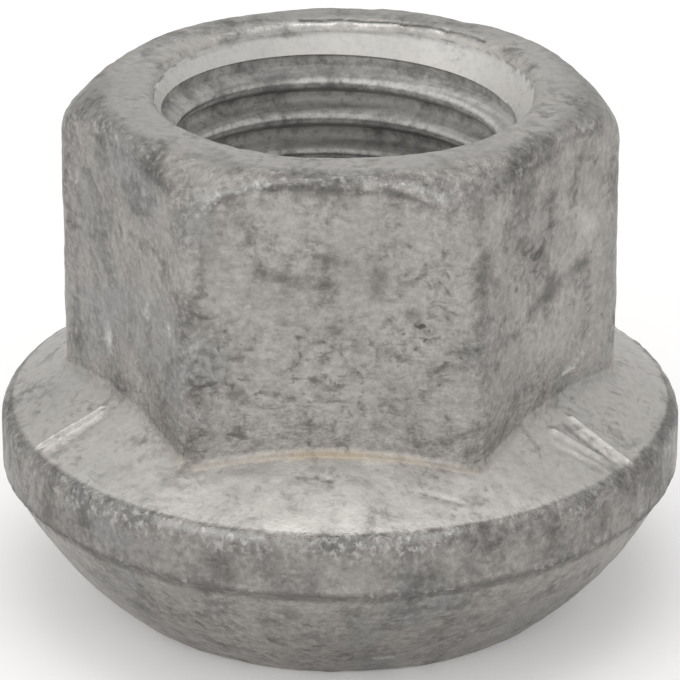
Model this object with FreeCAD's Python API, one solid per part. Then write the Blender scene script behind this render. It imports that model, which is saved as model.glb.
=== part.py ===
import FreeCAD
import Part
import math
import os

# Wheel nut with a ball seat, forged in one piece: a hexagon head on a sloping collar, over a spherical seat.
# Millimetres, +Z up. The origin is on the thread axis, in the plane of the narrow face under the seat.

# Overall and thread
overall_height = 20.55
thread_major_diameter = 14.0
thread_pitch = 1.5

# Hexagon head
width_across_flats = 19.0
hexagon_corner_round = 1.25
hexagon_turn_deg = -1.7
hexagon_base_round = 0.35

# Shoulder that takes the points off the top of the hexagon
shoulder_start_radius = 9.25
shoulder_slope_deg = 37.0

# Collar, with its short upright rim; its underside stands a little proud of the ball
collar_radius = 13.35
collar_slope_deg = 27.0
rim_top_height = 7.5
rim_height = 2.2
rim_top_round = 0.7

# Ball seat, which ends below in the flat foot
ball_radius = 14.5
foot_radius = 9.09

# Countersinks at the two ends of the thread
top_countersink_radius = 7.5
foot_countersink_radius = 7.4
countersink_half_angle_deg = 45.0

# The thread is left at its core: a plain bore at the minor diameter of a 60 degree metric profile.
core_depth_per_pitch = 0.625 * math.sqrt(3.0) / 2.0
bore_radius = thread_major_diameter / 2.0 - core_depth_per_pitch * thread_pitch

HEXAGON_SIDES = 6
AXIS = FreeCAD.Vector(0.0, 0.0, 1.0)
ORIGIN = FreeCAD.Vector(0.0, 0.0, 0.0)


def half_plane_point(radius, height):
    """Give the point at this radius and height in the XZ half plane."""
    return FreeCAD.Vector(radius, 0.0, height)


def line(start, end):
    """Give a straight edge between two points."""
    return Part.LineSegment(start, end).toShape()


def closed_outline(points):
    """Give the straight edges of a closed outline through these points."""
    return [line(start, end) for start, end in zip(points, points[1:] + points[:1])]


def revolved(edges):
    """Turn a closed profile in the XZ half plane into a solid about +Z."""
    profile = Part.Face(Part.Wire(edges))
    return profile.revolve(ORIGIN, AXIS, 360.0)


def rounded_corner(before, corner, after, radius):
    """Give the arc of this radius that touches both straight lines of a profile's corner."""
    towards_before = (before - corner).normalize()
    towards_after = (after - corner).normalize()
    half_angle = towards_before.getAngle(towards_after) / 2.0
    reach = radius / math.tan(half_angle)
    inwards = (towards_before + towards_after).normalize()
    middle = corner + inwards * (radius / math.sin(half_angle) - radius)
    return Part.Arc(corner + towards_before * reach, middle, corner + towards_after * reach).toShape()


def ball_seat():
    """Make the slice of the ball between the foot and the collar's underside, no wider than the collar."""
    centre_height = math.sqrt(ball_radius ** 2 - foot_radius ** 2)
    ball = Part.makeSphere(ball_radius, half_plane_point(0.0, centre_height))
    slice_height = rim_top_height - rim_height
    return ball.common(Part.makeCylinder(collar_radius, slice_height))


def collar():
    """Make the upright rim and the collar that slopes up from it, solid to the axis."""
    underside_centre = half_plane_point(0.0, rim_top_height - rim_height)
    rim_bottom = half_plane_point(collar_radius, rim_top_height - rim_height)
    rim_top = half_plane_point(collar_radius, rim_top_height)
    slope_rise = collar_radius * math.tan(math.radians(collar_slope_deg))
    apex = half_plane_point(0.0, rim_top_height + slope_rise)
    rim_arc = rounded_corner(rim_bottom, rim_top, apex, rim_top_round)
    rim_arc_start, rim_arc_end = [vertex.Point for vertex in rim_arc.Vertexes]
    return revolved([
        line(underside_centre, rim_bottom),
        line(rim_bottom, rim_arc_start),
        rim_arc,
        line(rim_arc_end, apex),
        line(apex, underside_centre),
    ])


def hexagon_prism():
    """Make the hexagon with rounded corners, one face turned towards -Y, from the rim up to the top."""
    corner_radius = width_across_flats / math.sqrt(3.0)
    height = overall_height - rim_top_height
    corners = []
    for side in range(HEXAGON_SIDES):
        angle = math.radians(360.0 * side / HEXAGON_SIDES + hexagon_turn_deg)
        x = corner_radius * math.cos(angle)
        y = corner_radius * math.sin(angle)
        corners.append(FreeCAD.Vector(x, y, rim_top_height))
    outline = Part.makePolygon(corners + corners[:1])
    prism = Part.Face(outline).extrude(AXIS * height)
    uprights = [edge for edge in prism.Edges if abs(edge.tangentAt(edge.FirstParameter).z) > 0.5]
    return prism.makeFillet(hexagon_corner_round, uprights)


def shoulder_envelope():
    """Make the round body that the top of the hexagon is turned down to."""
    reach = collar_radius
    shoulder_drop = (reach - shoulder_start_radius) * math.tan(math.radians(shoulder_slope_deg))
    points = [
        ORIGIN,
        half_plane_point(reach, 0.0),
        half_plane_point(reach, overall_height - shoulder_drop),
        half_plane_point(shoulder_start_radius, overall_height),
        half_plane_point(0.0, overall_height),
    ]
    return revolved(closed_outline(points))


def threaded_bore():
    """Make what is removed through the middle: the core of the thread and a countersink at each end."""
    spread = math.tan(math.radians(countersink_half_angle_deg))
    top_depth = (top_countersink_radius - bore_radius) / spread
    foot_depth = (foot_countersink_radius - bore_radius) / spread
    points = [
        ORIGIN,
        half_plane_point(foot_countersink_radius, 0.0),
        half_plane_point(bore_radius, foot_depth),
        half_plane_point(bore_radius, overall_height - top_depth),
        half_plane_point(top_countersink_radius, overall_height),
        half_plane_point(0.0, overall_height),
    ]
    return revolved(closed_outline(points))


def hexagon_base_edges(solid):
    """Find the curved edges where the hexagon's sides and corners stand on the sloping collar."""
    head_middle = (rim_top_height + overall_height) / 2.0
    found = []
    for edge in solid.Edges:
        if isinstance(edge.Curve, (Part.Circle, Part.Line)):
            continue
        if rim_top_height < edge.CenterOfMass.z < head_middle:
            found.append(edge)
    return found


def wheel_nut():
    """Make the whole nut as one solid."""
    head = hexagon_prism().common(shoulder_envelope())
    nut = ball_seat().fuse([collar(), head]).removeSplitter()
    nut = nut.makeFillet(hexagon_base_round, hexagon_base_edges(nut))
    return nut.cut(threaded_bore()).Solids[0]


os.makedirs("parts", exist_ok=True)
nut = wheel_nut()
nut.exportStep("parts/wheel_nut.step")
print("wheel_nut", nut.ShapeType, nut.isValid(), "solids", len(nut.Solids), "volume", round(nut.Volume, 1))
print("box", nut.BoundBox)
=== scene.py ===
import logging
import math
from dataclasses import dataclass, field
from enum import Enum
from functools import partialmethod

import bmesh
import bpy
import numpy as np
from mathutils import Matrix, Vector


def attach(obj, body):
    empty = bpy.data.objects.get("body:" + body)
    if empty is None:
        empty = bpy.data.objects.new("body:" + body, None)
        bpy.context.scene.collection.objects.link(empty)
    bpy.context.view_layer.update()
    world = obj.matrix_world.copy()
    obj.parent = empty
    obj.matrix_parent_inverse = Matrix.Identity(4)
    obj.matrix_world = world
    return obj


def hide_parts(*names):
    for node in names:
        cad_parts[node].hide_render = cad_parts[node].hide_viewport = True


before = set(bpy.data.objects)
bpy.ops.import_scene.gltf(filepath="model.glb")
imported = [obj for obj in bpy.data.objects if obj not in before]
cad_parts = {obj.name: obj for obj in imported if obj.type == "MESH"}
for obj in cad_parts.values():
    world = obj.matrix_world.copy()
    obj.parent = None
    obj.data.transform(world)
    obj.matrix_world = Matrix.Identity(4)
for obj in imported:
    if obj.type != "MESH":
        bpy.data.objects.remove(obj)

MM = 0.001
NODE = "wheel_nut"
BODY = "root"
FULL_TURN = 2.0 * math.pi
WHITE = (1.0, 1.0, 1.0, 1.0)

log = logging.getLogger("wheel_nut")


class Zone(Enum):
    """Names the vertex attributes that tell the node trees what lies where."""

    EDGE = "edge_wear"
    THREAD = "thread_depth"
    SKIN = "forged_skin"
    BASE = "hexagon_base"
    # A pale chalky coat, and painted light on the faces that look up
    PALE_AND_LIGHT = "pale_coat_and_painted_light"
    CRACK = "scale_cracks"
    # Dark stains, and painted shade under the rim, in the thread and on some marks
    STAIN_AND_SHADE = "dark_stain_and_shade"
    # Rubbed bright spots, and painted highlights
    SHINE_AND_HIGHLIGHT = "rubbed_bright_and_highlight"
    RELIEF = "mark_relief"


COAT_ZONES = (Zone.EDGE, Zone.THREAD, Zone.BASE, Zone.PALE_AND_LIGHT, Zone.CRACK, Zone.STAIN_AND_SHADE, Zone.SHINE_AND_HIGHLIGHT)
SHAPE_ZONES = (Zone.SKIN, Zone.EDGE, Zone.RELIEF)


class Face(Enum):
    """Names where a mark lies, and says what its second number measures."""

    TOP = "radius on the top"
    SIDE = "height on the hexagon"
    COLLAR = "radius on the collar"
    RIM = "height on the rim"
    BALL = "height on the ball seat"


def linear(hex_colour: str) -> tuple[float, float, float, float]:
    """Turn an sRGB hex value into a linear colour.

    Args:
        hex_colour: Six hex digits after a hash sign.

    Returns:
        Red, green, blue and full opacity, linear.
    """
    channels = [int(hex_colour[i:i + 2], 16) / 255.0 for i in (1, 3, 5)]
    red, green, blue = (c / 12.92 if c <= 0.04045 else ((c + 0.055) / 1.055) ** 2.4 for c in channels)
    return (red, green, blue, 1.0)


def unit(vectors: np.ndarray) -> np.ndarray:
    """Give the vectors, one to a row, at the length 1."""
    return vectors / np.linalg.norm(vectors, axis=1, keepdims=True)


def around(radius: object, angles: np.ndarray, height: object) -> np.ndarray:
    """Give the points at these angles about the thread axis, at one or many radii and heights."""
    return np.stack([radius * np.cos(angles), radius * np.sin(angles), height + 0.0 * angles], axis=1)


def new_object(name: str, data: bpy.types.ID) -> bpy.types.Object:
    """Put a new object with this mesh, light or camera in the scene."""
    made = bpy.data.objects.new(name, data)
    bpy.context.scene.collection.objects.link(made)
    return made


def cleared(owner: bpy.types.ID) -> bpy.types.NodeTree:
    """Give the node tree of a material or world, emptied."""
    owner.use_nodes = True
    owner.node_tree.nodes.clear()
    return owner.node_tree


@dataclass(frozen=True)
class Term:
    """An output in a node tree; plain arithmetic on it adds the Math nodes that work it out."""

    tree: bpy.types.NodeTree
    socket: bpy.types.NodeSocket

    def maths(self, operation: str, *others: object) -> "Term":
        """Work out one step with the Math node's operation of this name."""
        return found(self.tree, "ShaderNodeMath", dict(enumerate((self, *others))), operation=operation)

    __add__ = partialmethod(maths, "ADD")
    __sub__ = partialmethod(maths, "SUBTRACT")
    __mul__ = partialmethod(maths, "MULTIPLY")
    __truediv__ = partialmethod(maths, "DIVIDE")
    at_least = partialmethod(maths, "MAXIMUM")
    at_most = partialmethod(maths, "MINIMUM")

    def ramped(self, low: object, high: object, start: object = 0.0, end: object = 1.0) -> "Term":
        """Spread the value between two marks onto a new span, held at both ends.

        Args:
            low: Where the new span starts.
            high: Where the new span ends.
            start: The result at and before the low mark.
            end: The result at and past the high mark.

        Returns:
            The result.
        """
        given = {"Value": self, "From Min": low, "From Max": high, "To Min": start, "To Max": end}
        return found(self.tree, "ShaderNodeMapRange", given, clamp=True)

    def mixed(self, first: object, second: object) -> "Term":
        """Mix two colours, each a term or an sRGB hex value; this value is the second one's share."""
        first, second = (linear(colour) if isinstance(colour, str) else colour for colour in (first, second))
        return found(self.tree, "ShaderNodeMix", {"Factor": self, 6: first, 7: second}, 2, data_type="RGBA")


def add_node(tree: bpy.types.NodeTree, kind: str, inputs: dict | None = None,
             **settings: object) -> bpy.types.Node:
    """Add a node with its settings and inputs.

    Args:
        tree: The node tree that gets the node.
        kind: Blender's name for the kind of node.
        inputs: Input socket name or number to its value, or to the term that feeds it.
        settings: The node's own properties.

    Returns:
        The new node.
    """
    node = tree.nodes.new(kind)
    for name, value in settings.items():
        setattr(node, name, value)
    for name, value in (inputs or {}).items():
        if isinstance(value, Term):
            tree.links.new(value.socket, node.inputs[name])
        else:
            node.inputs[name].default_value = value
    return node


def found(tree: bpy.types.NodeTree, kind: str, inputs: dict | None = None, output: object = 0,
          **settings: object) -> Term:
    """Add a node and give one of its outputs."""
    return Term(tree, add_node(tree, kind, inputs, **settings).outputs[output])


def noise(spot: Term, size_mm: float, detail: float, rough: float = 0.6, twist: float = 0.0,
          stretch: tuple[float, float, float] | None = None) -> Term:
    """Give a noise whose largest lumps have this size.

    Args:
        spot: The place in millimetres.
        size_mm: The size of the largest lumps.
        detail: How many finer layers lie on them.
        rough: How strong the finer layers are.
        twist: How much the pattern is stirred.
        stretch: A scale along each axis; one under 1 draws the pattern out along that axis.

    Returns:
        The noise, from 0 to 1.
    """
    if stretch is not None:
        spot = found(spot.tree, "ShaderNodeMapping", {"Vector": spot, "Scale": stretch})
    values = {"Vector": spot, "Scale": 1.0 / size_mm, "Detail": detail, "Roughness": rough, "Distortion": twist}
    return found(spot.tree, "ShaderNodeTexNoise", values, "Fac")


def new_tree(name: str, inputs: dict[str, str]) -> tuple[bpy.types.NodeTree, dict[str, Term]]:
    """Start a geometry node tree with a geometry, these numbers and a finish as named inputs.

    Args:
        name: The tree's name.
        inputs: The kind of number, Int or Float, of each further input.

    Returns:
        The tree, and what it is given.
    """
    tree = bpy.data.node_groups.new(name, "GeometryNodeTree")
    for label, kind in ({"Geometry": "Geometry"} | inputs | {"Finish": "Material"}).items():
        tree.interface.new_socket(label, in_out="INPUT", socket_type="NodeSocket" + kind)
    tree.interface.new_socket("Geometry", in_out="OUTPUT", socket_type="NodeSocketGeometry")
    return tree, {socket.name: Term(tree, socket) for socket in add_node(tree, "NodeGroupInput").outputs}


def finish_tree(given: dict[str, Term], geometry: Term) -> None:
    """End a tree: make everything real, set the finish and put it out."""
    real = found(geometry.tree, "GeometryNodeRealizeInstances", {"Geometry": geometry})
    dressed = found(geometry.tree, "GeometryNodeSetMaterial", {"Geometry": real, "Material": given["Finish"]})
    add_node(geometry.tree, "NodeGroupOutput", {"Geometry": dressed})


def run_tree(holder: bpy.types.Object, tree: bpy.types.NodeTree, values: dict[str, object]) -> None:
    """Run a geometry node tree on an object and keep the result as its plain mesh.

    Args:
        holder: The object that the tree works on.
        tree: The tree.
        values: The value of each named input.
    """
    modifier = holder.modifiers.new(tree.name, "NODES")
    modifier.node_group = tree
    for item in tree.interface.items_tree:
        if item.in_out == "INPUT" and item.name in values:
            modifier[item.identifier] = values[item.name]
    mesh = bpy.data.meshes.new_from_object(holder.evaluated_get(bpy.context.evaluated_depsgraph_get()))
    holder.modifiers.remove(modifier)
    holder.data = mesh


@dataclass
class NutSizes:
    """The nut's real sizes, in metres.

    They are the solid's, but for the thread and the countersinks: the solid has a plain core and 90 degree
    countersinks, while the thread's crests lie as far out as its tolerance lets them and the cones are steeper.
    """

    height: float = 20.55 * MM
    across_flats: float = 19.0 * MM
    corner_round: float = 1.25 * MM
    hexagon_turn: float = math.radians(-1.7)
    shoulder_start: float = 9.25 * MM
    shoulder_slope: float = math.radians(37.0)
    collar_radius: float = 13.35 * MM
    collar_slope: float = math.radians(27.0)
    rim_top: float = 7.5 * MM
    rim_height: float = 2.2 * MM
    ball_radius: float = 14.5 * MM
    foot_radius: float = 9.09 * MM
    top_rim: float = 7.5 * MM
    foot_rim: float = 7.4 * MM
    rim_offset: tuple[float, float] = (0.15 * MM, 0.10 * MM)
    rim_round: float = 0.60 * MM
    zip_gap: float = 0.05 * MM
    cone_half_angle: float = math.radians(30.0)
    thread_major: float = 7.0 * MM
    thread_crest: float = 6.34 * MM
    thread_pitch: float = 1.5 * MM
    bore_columns: int = 150

    @property
    def ball_centre(self) -> float:
        """Give the height of the ball's centre."""
        return math.sqrt(self.ball_radius ** 2 - self.foot_radius ** 2)

    @property
    def mouth_drop(self) -> float:
        """Give how far below the top the thread's ribbon ends, just under the round of the countersink's rim."""
        reach = self.rim_round / math.tan((math.pi / 2.0 + self.cone_half_angle) / 2.0)
        return reach * math.cos(self.cone_half_angle) + self.zip_gap

    @property
    def cone_spread(self) -> float:
        """Give how much wider a countersink is for each step up."""
        return math.tan(self.cone_half_angle)

    def top_rim_at(self, angles: np.ndarray, below: float = 0.0) -> np.ndarray:
        """Give the upper countersink's radius at each angle; it was cut a little off the axis.

        Args:
            angles: The angles about the thread axis.
            below: How far below the top.

        Returns:
            The radius at each angle.
        """
        off_axis = self.rim_offset[0] * np.cos(angles) + self.rim_offset[1] * np.sin(angles)
        return self.top_rim - below * self.cone_spread + off_axis

    @property
    def rim_foot(self) -> float:
        """Give the height of the rim's underside."""
        return self.rim_top - self.rim_height

    @property
    def seat_top_radius(self) -> float:
        """Give the ball seat's radius where it meets the rim."""
        return math.sqrt(self.ball_radius ** 2 - (self.ball_centre - self.rim_foot) ** 2)

    def hexagon_reach(self, angles: np.ndarray) -> np.ndarray:
        """Give how far the hexagon with its rounded corners reaches at each angle.

        Args:
            angles: The angles about the thread axis.

        Returns:
            The reach from the axis at each angle.
        """
        flat = self.across_flats / 2.0
        half = math.pi / 6.0
        from_face = np.abs((angles - self.hexagon_turn) % (2.0 * half) - half)
        from_corner = half - from_face
        centre = (flat - self.corner_round) / math.cos(half)
        tangent = math.atan2((flat - self.corner_round) * math.tan(half), flat)
        inside = np.maximum(self.corner_round ** 2 - (centre * np.sin(from_corner)) ** 2, 0.0)
        rounded = centre * np.cos(from_corner) + np.sqrt(inside)
        return np.where(from_face <= tangent, flat / np.cos(from_face), rounded)

    def spot(self, face: Face, azimuth: float, measure: float) -> np.ndarray:
        """Give a point on one of the nut's faces, before its edges are rounded.

        Args:
            face: The face.
            azimuth: Degrees about the thread axis.
            measure: A radius or a height in mm, as the face says.

        Returns:
            The point.
        """
        angle = math.radians(azimuth)
        radius = height = measure * MM
        if face is Face.TOP:
            height = self.height
        elif face is Face.COLLAR:
            height = self.rim_top + (self.collar_radius - radius) * math.tan(self.collar_slope)
        elif face is Face.SIDE:
            radius = float(self.hexagon_reach(np.array([angle]))[0])
        elif face is Face.RIM:
            radius = self.collar_radius
        else:
            radius = math.sqrt(self.ball_radius ** 2 - (self.ball_centre - height) ** 2)
        return np.array([radius * math.cos(angle), radius * math.sin(angle), height])


@dataclass(frozen=True)
class Patterns:
    """What the colours are drawn from: the place in millimetres, the zones, and noises from wide to fine."""

    spot: Term
    zone: dict[Zone, Term]
    cloud: Term
    patch: Term
    crumb: Term
    fleck: Term


@dataclass(frozen=True)
class ZincCoatedSteel:
    """Forged steel with a thin dip-spun zinc coat.

    The blank is hot forged, so its faces and edges are a little lumpy. The coat is dull and grainy, and pale and
    chalky where it lies thick, as on the collar and in the thread, and painted lighter on the faces that look up.
    It is darker where it ran thin over edges, darker along the hexagon's corners, and darker in a zone of real
    stains and painted shade. It has short dark cracks and pits left by scale, bright flecks where handling rubbed
    the edges, and painted highlights on some marks.
    A ramp gives the span of a pattern that counts, and then how strong it is at the span's two ends.
    """

    chalk: str = "#D3D0CB"
    thread_chalk: str = "#F0EEEA"
    pale: str = "#AAA7A3"
    middle: str = "#9B9894"
    cool: str = "#939494"
    dark: str = "#6A6866"
    pit: str = "#45433F"
    bright: str = "#DAD8D5"
    tan: str = "#BFA988"
    root: str = "#625F58"
    metallic: float = 1.0
    chalky_metallic: float = 0.10
    dull_ramp: tuple = (0.35, 0.65, 0.41, 0.53)
    rubbed_gloss: float = 0.10
    cloud_mm: float = 5.0
    patch_mm: float = 1.6
    crack_mm: float = 0.80
    spot_mm: float = 0.50
    crumb_mm: float = 0.30
    fleck_mm: float = 0.26
    middle_ramp: tuple = (0.38, 0.60)
    cool_ramp: tuple = (0.54, 0.68, 0.0, 0.6)
    chalk_share: float = 0.80
    grain_ramp: tuple = (0.44, 0.74, 0.0, 0.42)
    chalk_grain_ramp: tuple = (0.46, 0.26, 0.0, 0.22)
    pale_grain: float = 0.45
    tan_ramp: tuple = (0.36, 0.56, 0.15, 0.58)
    flank_ramp: tuple = (0.16, 0.27)
    root_ramp: tuple = (0.75, 1.0, 1.0, 0.35)
    turned_ramp: tuple = (0.42, 0.62, 0.38, 0.70)
    thin_ramp: tuple = (0.52, 0.78, 0.0, 0.72)
    crack_ramp: tuple = (0.54, 0.64)
    spot_ramp: tuple = (0.57, 0.68)
    gather_ramp: tuple = (0.40, 0.60, 0.25, 1.0)
    rubbed_ramp: tuple = (0.44, 0.56, 0.08, 0.50)
    fleck_ramp: tuple = (0.50, 0.66)
    thread_ramp: tuple = (0.0, 0.12)
    edge_thin: float = 0.10
    stain_and_shade_thin: float = 0.15
    pale_thick: float = 0.08
    crumb_thin: float = 0.36
    stain_and_shade_share: float = 0.50
    shine_share: float = 0.60
    fleck_bump: float = 0.35
    crumb_bump: float = 0.60
    bump_depth: tuple = (0.03 * MM, 0.23 * MM)
    bump_strength: float = 0.7

    def material(self) -> bpy.types.Material:
        """Build the node material.

        Returns:
            The finished material.
        """
        material = bpy.data.materials.new("dip_spun_zinc_on_forged_steel")
        tree = cleared(material)
        place = found(tree, "ShaderNodeTexCoord", output="Object")
        spot = found(tree, "ShaderNodeVectorMath", {0: place, "Scale": 1.0 / MM}, operation="SCALE")
        zone = {kind: found(tree, "ShaderNodeAttribute", output="Fac", attribute_name=kind.value)
                for kind in COAT_ZONES}
        seen = Patterns(spot, zone, cloud=noise(spot, self.cloud_mm, 2.0),
                        patch=noise(spot, self.patch_mm, 5.0, stretch=(1.0, 1.0, 0.75)),
                        crumb=noise(spot, self.crumb_mm, 3.0, 0.65), fleck=noise(spot, self.fleck_mm, 2.0))

        in_thread = zone[Zone.THREAD].ramped(*self.thread_ramp)
        colour = self.cracks(seen, self.thin_coat(seen, self.ground(seen, in_thread)))
        rubbed_and_highlit = self.rubbed_and_highlit(seen)
        colour = rubbed_and_highlit.mixed(colour, self.bright)

        lumps = seen.fleck * self.fleck_bump + seen.crumb * self.crumb_bump
        depth = (zone[Zone.EDGE] - zone[Zone.PALE_AND_LIGHT]).ramped(-1.0, 1.0, *self.bump_depth)
        bump = found(tree, "ShaderNodeBump", {"Height": lumps, "Distance": depth, "Strength": self.bump_strength})
        dull = seen.patch.ramped(*self.dull_ramp) - rubbed_and_highlit * self.rubbed_gloss
        metallic = in_thread.ramped(0.0, 1.0, self.metallic, self.chalky_metallic)
        shader = found(tree, "ShaderNodeBsdfPrincipled",
                       {"Base Color": colour, "Roughness": dull, "Metallic": metallic, "Normal": bump})
        add_node(tree, "ShaderNodeOutputMaterial", {"Surface": shader})
        return material

    def ground(self, seen: Patterns, in_thread: Term) -> Term:
        """Give the coat's colour: clouds, a fine crumb, and chalk where it lies thick and where the pale zone
        paints light on the faces that look up.

        Args:
            seen: The patterns.
            in_thread: 1 in the thread.

        Returns:
            The colour.
        """
        pale, depth = seen.zone[Zone.PALE_AND_LIGHT], seen.zone[Zone.THREAD]
        colour = seen.cloud.ramped(*self.middle_ramp).mixed(self.pale, self.middle)
        colour = seen.cloud.ramped(*self.cool_ramp).mixed(colour, self.cool)
        # The pale zone mixes in chalk: a thick chalky coat, and painted light on the faces that look up
        colour = (pale * self.chalk_share).mixed(colour, self.chalk)
        colour = in_thread.mixed(colour, self.thread_chalk)
        grainy = pale.ramped(0.0, 1.0, 1.0, self.pale_grain)
        colour = (seen.crumb.ramped(*self.grain_ramp) * grainy).mixed(colour, self.dark)
        colour = (seen.crumb.ramped(*self.chalk_grain_ramp) * grainy).mixed(colour, self.chalk)
        colour = (seen.cloud.ramped(*self.tan_ramp) * seen.zone[Zone.BASE]).mixed(colour, self.tan)
        turned = noise(seen.spot, self.patch_mm, 4.0, stretch=(0.2, 0.2, 6.0)).ramped(*self.turned_ramp)
        flank = depth.ramped(*self.flank_ramp) * depth.ramped(*self.root_ramp)
        return (flank * turned).mixed(colour, self.root)

    def thin_coat(self, seen: Patterns, colour: Term) -> Term:
        """Darken the colour in ragged patches where the coat is thin, over edges, along the hexagon's corners, and
        in the stain zone, which holds real stains and painted shade.
        """
        stain_and_shade = seen.zone[Zone.STAIN_AND_SHADE]
        level = seen.patch + seen.zone[Zone.EDGE] * self.edge_thin + stain_and_shade * self.stain_and_shade_thin
        level = level - seen.zone[Zone.PALE_AND_LIGHT] * self.pale_thick + (seen.crumb - 0.5) * self.crumb_thin
        colour = level.ramped(*self.thin_ramp).mixed(colour, self.dark)
        return (stain_and_shade * stain_and_shade * self.stain_and_shade_share).mixed(colour, self.dark)

    def cracks(self, seen: Patterns, colour: Term) -> Term:
        """Draw the short dark cracks and pits on the colour."""
        crack = noise(seen.spot, self.crack_mm, 4.0, 0.6, 0.7, (0.7, 0.7, 1.6)).ramped(*self.crack_ramp)
        spots = noise(seen.spot, self.spot_mm, 3.0, 0.6, 0.5).ramped(*self.spot_ramp)
        gathered = crack.at_least(spots) * seen.patch.ramped(*self.gather_ramp)
        return (gathered * seen.zone[Zone.CRACK]).mixed(colour, self.pit)

    def rubbed_and_highlit(self, seen: Patterns) -> Term:
        """Give where the coat is bright: rubbed flecks along some edges, and the marks' shine, which holds rubbed
        spots and painted highlights.
        """
        shine = seen.zone[Zone.SHINE_AND_HIGHLIGHT]
        handled = (seen.zone[Zone.EDGE] * seen.cloud.ramped(*self.rubbed_ramp)).at_least(shine)
        return (seen.fleck.ramped(*self.fleck_ramp) * handled).at_least(shine * shine * self.shine_share)


@dataclass
class ThreadRibbon:
    """The right-hand thread: a ribbon of one thread's profile wound up the bore, cut by the two countersinks.

    Painted shade darkens the coat's chalk in the first turn, deeper down, under each crest and on it.
    """

    sizes: NutSizes
    crest_height: float = 1.425 * MM
    crest_share: float = 0.25
    crest_depth: float = 0.15
    spare_turns: int = 2
    flank_steps: int = 3
    flank_angle: float = math.radians(30.0)
    bevel_depth: float = 0.08 * MM
    bevel_width: float = 0.09 * MM
    cut_fade: float = 0.25 * MM
    cone_chalk: float = 0.055
    lip_line: tuple = (0.10 * MM, 0.20 * MM)
    first_turn: tuple = (1.6 * MM, 1.8 * MM)
    first_turn_shade: float = 0.75
    inner_turns: tuple = (2.2 * MM, 5.0 * MM)
    inner_shade: float = 0.55
    under_crest_shade: float = 0.7
    crest_shade: float = 0.8
    weld: float = 0.002 * MM

    def build(self, material: bpy.types.Material) -> bpy.types.Object:
        """Wind the thread with a node tree and make it a plain mesh.

        Args:
            material: The finish that the tree sets.

        Returns:
            The thread as an object with a plain mesh.
        """
        size = self.sizes
        holder = new_object("thread_ribbon", bpy.data.meshes.new("thread_ribbon"))
        turns = math.ceil(size.height / size.thread_pitch) + self.spare_turns
        counts = {"Columns": size.bore_columns, "Turns": turns}
        lengths = {
            "Pitch": size.thread_pitch, "Major radius": size.thread_major, "Minor radius": size.thread_crest,
            "Start height": self.crest_height - self.spare_turns * size.thread_pitch,
            "Top height": size.height - size.mouth_drop,
            "Top rim radius": size.top_rim - size.mouth_drop * size.cone_spread, "Cone spread": size.cone_spread,
            "Top rim offset": size.rim_offset[0], "Top rim set-back": size.rim_offset[1],
            "Foot rim radius": size.foot_rim,
        }
        tree = self.tree(dict.fromkeys(counts, "Int") | dict.fromkeys(lengths, "Float"))
        run_tree(holder, tree, counts | lengths | {"Finish": material})
        return holder

    def profile(self, step: Term) -> Term:
        """Give how far along the pitch each step from the root's middle lies: root, flank, bevel, half a crest."""
        slope = math.tan(self.flank_angle) / self.sizes.thread_pitch
        flank_run = slope * (self.sizes.thread_major - self.sizes.thread_crest)
        bevel_rise = slope * self.bevel_depth
        bevel_run = self.bevel_width / self.sizes.thread_pitch
        half_crest = self.crest_share / 2.0
        flank_end = self.flank_steps + 1.0
        root = step.ramped(0.0, 1.0, 0.0, 0.5 - half_crest - flank_run)
        flank = step.ramped(1.0, flank_end, 0.0, flank_run - bevel_rise)
        bevel = step.ramped(flank_end, flank_end + 1.0, 0.0, bevel_rise + bevel_run)
        crest = step.ramped(flank_end + 1.0, flank_end + 2.0, 0.0, half_crest - bevel_run)
        return (root + flank) + (bevel + crest)

    def tree(self, inputs: dict[str, str]) -> bpy.types.NodeTree:
        """Build the node tree of the wound ribbon.

        Args:
            inputs: The name and the kind of each number that the tree is given.

        Returns:
            The tree.
        """
        tree, given = new_tree("wound_thread", inputs)
        half_steps = self.flank_steps + 3
        rows = 2 * half_steps + 1
        along = given["Columns"] * given["Turns"] + 1.0
        grid = found(tree, "GeometryNodeMeshGrid", {"Vertices X": along, "Vertices Y": rows})
        index = found(tree, "GeometryNodeInputIndex")
        column = ((index + 0.5) / float(rows)).maths("FLOOR")
        turn = column / given["Columns"]
        angle = turn * FULL_TURN
        cosine, sine = angle.maths("COSINE"), angle.maths("SINE")
        from_root = (index - column * float(rows)) - float(half_steps)
        step = from_root.maths("ABSOLUTE")
        across = from_root.maths("SIGN") * self.profile(step)
        height = (turn + across + 0.5) * given["Pitch"] + given["Start height"]
        height = height.at_least(0.0).at_most(given["Top height"])
        below = given["Top height"] - height

        # The wall is the thread or a countersink's cone, whichever is wider
        flank_end = self.flank_steps + 1.0
        flank = step.ramped(1.0, flank_end, given["Major radius"], given["Minor radius"] + self.bevel_depth)
        thread = flank - step.ramped(flank_end, flank_end + 1.0, 0.0, self.bevel_depth)
        top_rim = cosine * given["Top rim offset"] + given["Top rim radius"]
        top_rim = sine * given["Top rim set-back"] + top_rim
        top_cone = top_rim - below * given["Cone spread"]
        foot_cone = given["Foot rim radius"] - height * given["Cone spread"]
        wall = thread.at_least(top_cone).at_least(foot_cone)
        spot = found(tree, "ShaderNodeCombineXYZ", {"X": wall * cosine, "Y": wall * sine, "Z": height})
        shape = found(tree, "GeometryNodeSetPosition", {"Geometry": grid, "Position": spot})

        cut = (wall - thread).ramped(0.0, self.cut_fade).at_least(from_root.maths("GREATER_THAN", -0.5))
        cone = cut * wall.maths("GREATER_THAN", thread)
        bare = cone * -1.0 + 1.0
        depth = thread.ramped(given["Minor radius"], given["Major radius"], self.crest_depth)
        crest = step.maths("COMPARE", float(half_steps), 0.5) * bare
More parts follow.
